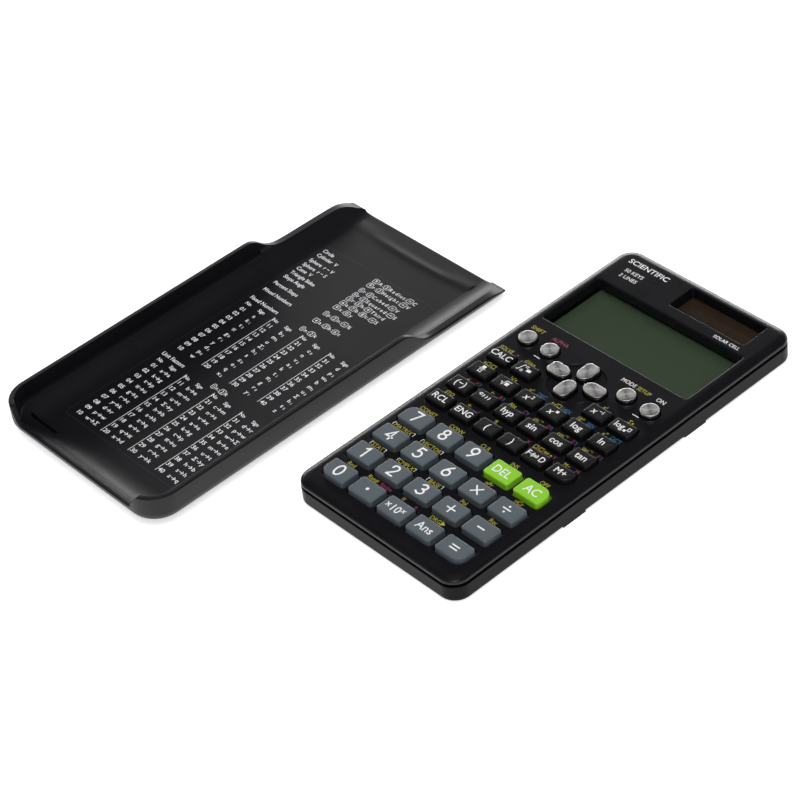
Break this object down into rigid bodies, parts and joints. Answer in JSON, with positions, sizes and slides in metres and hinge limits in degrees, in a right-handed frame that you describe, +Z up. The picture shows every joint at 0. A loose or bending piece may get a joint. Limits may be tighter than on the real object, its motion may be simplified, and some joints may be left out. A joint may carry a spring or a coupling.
{
  "type": "scientific calculator",
  "caption": "Scientific calculator with domed key rows, a cursor cluster, display and solar windows, and its slide-on hard cover lying beside it, inside up.",
  "frame": {"origin": "centre of the calculator's flat base, on the table", "axes": "+Z up from the table through the keys, +Y towards the display end, +X to the right of a person who reads the keys"},
  "size_m": [0.1837, 0.2047, 0.0123],
  "materials": {
    "case_plastic": "satin, near black",
    "cover_plastic": "satin, near black",
    "window": "clear, glossy",
    "lcd": "dark green-grey, smooth",
    "ribbon": "amber film",
    "solar": "dark brown, glossy",
    "board": "green solder mask",
    "mat": "pale silicone, matt",
    "cell_steel": "bright steel",
    "metal_cap": "turned, bright",
    "black_key": "satin, black",
    "grey_key": "satin, cool grey",
    "green_key": "satin, leaf green"
  },
  "bodies": {
    "calculator": {"rear_case": "case_plastic", "front_case": "case_plastic", "display_window": "window", "lcd_panel": "lcd", "lcd_ribbon": "ribbon", "solar_cell": "solar", "circuit_board": "board", "rubber_key_mat": "mat", "button_cell": "cell_steel"},
    "cover": {"slide_cover": "cover_plastic"},
    "key_shift_body": {"key_shift": "metal_cap"},
    "key_alpha_body": {"key_alpha": "metal_cap"},
    "key_mode_body": {"key_mode": "metal_cap"},
    "key_on_body": {"key_on": "metal_cap"},
    "cursor_up_body": {"cursor_up": "metal_cap"},
    "cursor_left_body": {"cursor_left": "metal_cap"},
    "cursor_down_body": {"cursor_down": "metal_cap"},
    "cursor_right_body": {"cursor_right": "metal_cap"},
    "key_calculate_body": {"key_calculate": "black_key"},
    "key_integral_body": {"key_integral": "black_key"},
    "key_reciprocal_body": {"key_reciprocal": "black_key"},
    "key_log_base_body": {"key_log_base": "black_key"},
    "key_fraction_body": {"key_fraction": "black_key"},
    "key_square_root_body": {"key_square_root": "black_key"},
    "key_square_body": {"key_square": "black_key"},
    "key_power_body": {"key_power": "black_key"},
    "key_log_body": {"key_log": "black_key"},
    "key_natural_log_body": {"key_natural_log": "black_key"},
    "key_negative_body": {"key_negative": "black_key"},
    "key_degrees_body": {"key_degrees": "black_key"},
    "key_hyperbolic_body": {"key_hyperbolic": "black_key"},
    "key_sine_body": {"key_sine": "black_key"},
    "key_cosine_body": {"key_cosine": "black_key"},
    "key_tangent_body": {"key_tangent": "black_key"},
    "key_recall_body": {"key_recall": "black_key"},
    "key_engineering_body": {"key_engineering": "black_key"},
    "key_open_bracket_body": {"key_open_bracket": "black_key"},
    "key_close_bracket_body": {"key_close_bracket": "black_key"},
    "key_decimal_swap_body": {"key_decimal_swap": "black_key"},
    "key_memory_add_body": {"key_memory_add": "black_key"},
    "key_7_body": {"key_7": "grey_key"},
    "key_8_body": {"key_8": "grey_key"},
    "key_9_body": {"key_9": "grey_key"},
    "key_delete_body": {"key_delete": "green_key"},
    "key_all_clear_body": {"key_all_clear": "green_key"},
    "key_4_body": {"key_4": "grey_key"},
    "key_5_body": {"key_5": "grey_key"},
    "key_6_body": {"key_6": "grey_key"},
    "key_multiply_body": {"key_multiply": "grey_key"},
    "key_divide_body": {"key_divide": "grey_key"},
    "key_1_body": {"key_1": "grey_key"},
    "key_2_body": {"key_2": "grey_key"},
    "key_3_body": {"key_3": "grey_key"},
    "key_add_body": {"key_add": "grey_key"},
    "key_subtract_body": {"key_subtract": "grey_key"},
    "key_0_body": {"key_0": "grey_key"},
    "key_decimal_point_body": {"key_decimal_point": "grey_key"},
    "key_exponent_body": {"key_exponent": "grey_key"},
    "key_answer_body": {"key_answer": "grey_key"},
    "key_equals_body": {"key_equals": "grey_key"}
  },
  "joints": [
    {"name": "cover_slide", "type": "slide", "parent": "calculator", "child": "cover", "axis": [0, -1, 0], "range_m": [0, 0.163]},
    {"name": "key_shift_press", "type": "slide", "parent": "calculator", "child": "key_shift_body", "axis": [0, 0, -1], "range_m": [0, 0.001], "stiffness_N_per_m": 400},
    {"name": "key_alpha_press", "type": "slide", "parent": "calculator", "child": "key_alpha_body", "axis": [0, 0, -1], "range_m": [0, 0.001], "stiffness_N_per_m": 400},
    {"name": "key_mode_press", "type": "slide", "parent": "calculator", "child": "key_mode_body", "axis": [0, 0, -1], "range_m": [0, 0.001], "stiffness_N_per_m": 400},
    {"name": "key_on_press", "type": "slide", "parent": "calculator", "child": "key_on_body", "axis": [0, 0, -1], "range_m": [0, 0.001], "stiffness_N_per_m": 400},
    {"name": "cursor_up_press", "type": "slide", "parent": "calculator", "child": "cursor_up_body", "axis": [0, 0, -1], "range_m": [0, 0.001], "stiffness_N_per_m": 400},
    {"name": "cursor_left_press", "type": "slide", "parent": "calculator", "child": "cursor_left_body", "axis": [0, 0, -1], "range_m": [0, 0.001], "stiffness_N_per_m": 400},
    {"name": "cursor_down_press", "type": "slide", "parent": "calculator", "child": "cursor_down_body", "axis": [0, 0, -1], "range_m": [0, 0.001], "stiffness_N_per_m": 400},
    {"name": "cursor_right_press", "type": "slide", "parent": "calculator", "child": "cursor_right_body", "axis": [0, 0, -1], "range_m": [0, 0.001], "stiffness_N_per_m": 400},
    {"name": "key_calculate_press", "type": "slide", "parent": "calculator", "child": "key_calculate_body", "axis": [0, 0, -1], "range_m": [0, 0.001], "stiffness_N_per_m": 400},
    {"name": "key_integral_press", "type": "slide", "parent": "calculator", "child": "key_integral_body", "axis": [0, 0, -1], "range_m": [0, 0.001], "stiffness_N_per_m": 400},
    {"name": "key_reciprocal_press", "type": "slide", "parent": "calculator", "child": "key_reciprocal_body", "axis": [0, 0, -1], "range_m": [0, 0.001], "stiffness_N_per_m": 400},
    {"name": "key_log_base_press", "type": "slide", "parent": "calculator", "child": "key_log_base_body", "axis": [0, 0, -1], "range_m": [0, 0.001], "stiffness_N_per_m": 400},
    {"name": "key_fraction_press", "type": "slide", "parent": "calculator", "child": "key_fraction_body", "axis": [0, 0, -1], "range_m": [0, 0.001], "stiffness_N_per_m": 400},
    {"name": "key_square_root_press", "type": "slide", "parent": "calculator", "child": "key_square_root_body", "axis": [0, 0, -1], "range_m": [0, 0.001], "stiffness_N_per_m": 400},
    {"name": "key_square_press", "type": "slide", "parent": "calculator", "child": "key_square_body", "axis": [0, 0, -1], "range_m": [0, 0.001], "stiffness_N_per_m": 400},
    {"name": "key_power_press", "type": "slide", "parent": "calculator", "child": "key_power_body", "axis": [0, 0, -1], "range_m": [0, 0.001], "stiffness_N_per_m": 400},
    {"name": "key_log_press", "type": "slide", "parent": "calculator", "child": "key_log_body", "axis": [0, 0, -1], "range_m": [0, 0.001], "stiffness_N_per_m": 400},
    {"name": "key_natural_log_press", "type": "slide", "parent": "calculator", "child": "key_natural_log_body", "axis": [0, 0, -1], "range_m": [0, 0.001], "stiffness_N_per_m": 400},
    {"name": "key_negative_press", "type": "slide", "parent": "calculator", "child": "key_negative_body", "axis": [0, 0, -1], "range_m": [0, 0.001], "stiffness_N_per_m": 400},
    {"name": "key_degrees_press", "type": "slide", "parent": "calculator", "child": "key_degrees_body", "axis": [0, 0, -1], "range_m": [0, 0.001], "stiffness_N_per_m": 400},
    {"name": "key_hyperbolic_press", "type": "slide", "parent": "calculator", "child": "key_hyperbolic_body", "axis": [0, 0, -1], "range_m": [0, 0.001], "stiffness_N_per_m": 400},
    {"name": "key_sine_press", "type": "slide", "parent": "calculator", "child": "key_sine_body", "axis": [0, 0, -1], "range_m": [0, 0.001], "stiffness_N_per_m": 400},
    {"name": "key_cosine_press", "type": "slide", "parent": "calculator", "child": "key_cosine_body", "axis": [0, 0, -1], "range_m": [0, 0.001], "stiffness_N_per_m": 400},
    {"name": "key_tangent_press", "type": "slide", "parent": "calculator", "child": "key_tangent_body", "axis": [0, 0, -1], "range_m": [0, 0.001], "stiffness_N_per_m": 400},
    {"name": "key_recall_press", "type": "slide", "parent": "calculator", "child": "key_recall_body", "axis": [0, 0, -1], "range_m": [0, 0.001], "stiffness_N_per_m": 400},
    {"name": "key_engineering_press", "type": "slide", "parent": "calculator", "child": "key_engineering_body", "axis": [0, 0, -1], "range_m": [0, 0.001], "stiffness_N_per_m": 400},
    {"name": "key_open_bracket_press", "type": "slide", "parent": "calculator", "child": "key_open_bracket_body", "axis": [0, 0, -1], "range_m": [0, 0.001], "stiffness_N_per_m": 400},
    {"name": "key_close_bracket_press", "type": "slide", "parent": "calculator", "child": "key_close_bracket_body", "axis": [0, 0, -1], "range_m": [0, 0.001], "stiffness_N_per_m": 400},
    {"name": "key_decimal_swap_press", "type": "slide", "parent": "calculator", "child": "key_decimal_swap_body", "axis": [0, 0, -1], "range_m": [0, 0.001], "stiffness_N_per_m": 400},
    {"name": "key_memory_add_press", "type": "slide", "parent": "calculator", "child": "key_memory_add_body", "axis": [0, 0, -1], "range_m": [0, 0.001], "stiffness_N_per_m": 400},
    {"name": "key_7_press", "type": "slide", "parent": "calculator", "child": "key_7_body", "axis": [0, 0, -1], "range_m": [0, 0.001], "stiffness_N_per_m": 400},
    {"name": "key_8_press", "type": "slide", "parent": "calculator", "child": "key_8_body", "axis": [0, 0, -1], "range_m": [0, 0.001], "stiffness_N_per_m": 400},
    {"name": "key_9_press", "type": "slide", "parent": "calculator", "child": "key_9_body", "axis": [0, 0, -1], "range_m": [0, 0.001], "stiffness_N_per_m": 400},
    {"name": "key_delete_press", "type": "slide", "parent": "calculator", "child": "key_delete_body", "axis": [0, 0, -1], "range_m": [0, 0.001], "stiffness_N_per_m": 400},
    {"name": "key_all_clear_press", "type": "slide", "parent": "calculator", "child": "key_all_clear_body", "axis": [0, 0, -1], "range_m": [0, 0.001], "stiffness_N_per_m": 400},
    {"name": "key_4_press", "type": "slide", "parent": "calculator", "child": "key_4_body", "axis": [0, 0, -1], "range_m": [0, 0.001], "stiffness_N_per_m": 400},
    {"name": "key_5_press", "type": "slide", "parent": "calculator", "child": "key_5_body", "axis": [0, 0, -1], "range_m": [0, 0.001], "stiffness_N_per_m": 400},
    {"name": "key_6_press", "type": "slide", "parent": "calculator", "child": "key_6_body", "axis": [0, 0, -1], "range_m": [0, 0.001], "stiffness_N_per_m": 400},
    {"name": "key_multiply_press", "type": "slide", "parent": "calculator", "child": "key_multiply_body", "axis": [0, 0, -1], "range_m": [0, 0.001], "stiffness_N_per_m": 400},
    {"name": "key_divide_press", "type": "slide", "parent": "calculator", "child": "key_divide_body", "axis": [0, 0, -1], "range_m": [0, 0.001], "stiffness_N_per_m": 400},
    {"name": "key_1_press", "type": "slide", "parent": "calculator", "child": "key_1_body", "axis": [0, 0, -1], "range_m": [0, 0.001], "stiffness_N_per_m": 400},
    {"name": "key_2_press", "type": "slide", "parent": "calculator", "child": "key_2_body", "axis": [0, 0, -1], "range_m": [0, 0.001], "stiffness_N_per_m": 400},
    {"name": "key_3_press", "type": "slide", "parent": "calculator", "child": "key_3_body", "axis": [0, 0, -1], "range_m": [0, 0.001], "stiffness_N_per_m": 400},
    {"name": "key_add_press", "type": "slide", "parent": "calculator", "child": "key_add_body", "axis": [0, 0, -1], "range_m": [0, 0.001], "stiffness_N_per_m": 400},
    {"name": "key_subtract_press", "type": "slide", "parent": "calculator", "child": "key_subtract_body", "axis": [0, 0, -1], "range_m": [0, 0.001], "stiffness_N_per_m": 400},
    {"name": "key_0_press", "type": "slide", "parent": "calculator", "child": "key_0_body", "axis": [0, 0, -1], "range_m": [0, 0.001], "stiffness_N_per_m": 400},
    {"name": "key_decimal_point_press", "type": "slide", "parent": "calculator", "child": "key_decimal_point_body", "axis": [0, 0, -1], "range_m": [0, 0.001], "stiffness_N_per_m": 400},
    {"name": "key_exponent_press", "type": "slide", "parent": "calculator", "child": "key_exponent_body", "axis": [0, 0, -1], "range_m": [0, 0.001], "stiffness_N_per_m": 400},
    {"name": "key_answer_press", "type": "slide", "parent": "calculator", "child": "key_answer_body", "axis": [0, 0, -1], "range_m": [0, 0.001], "stiffness_N_per_m": 400},
    {"name": "key_equals_press", "type": "slide", "parent": "calculator", "child": "key_equals_body", "axis": [0, 0, -1], "range_m": [0, 0.001], "stiffness_N_per_m": 400}
  ]
}
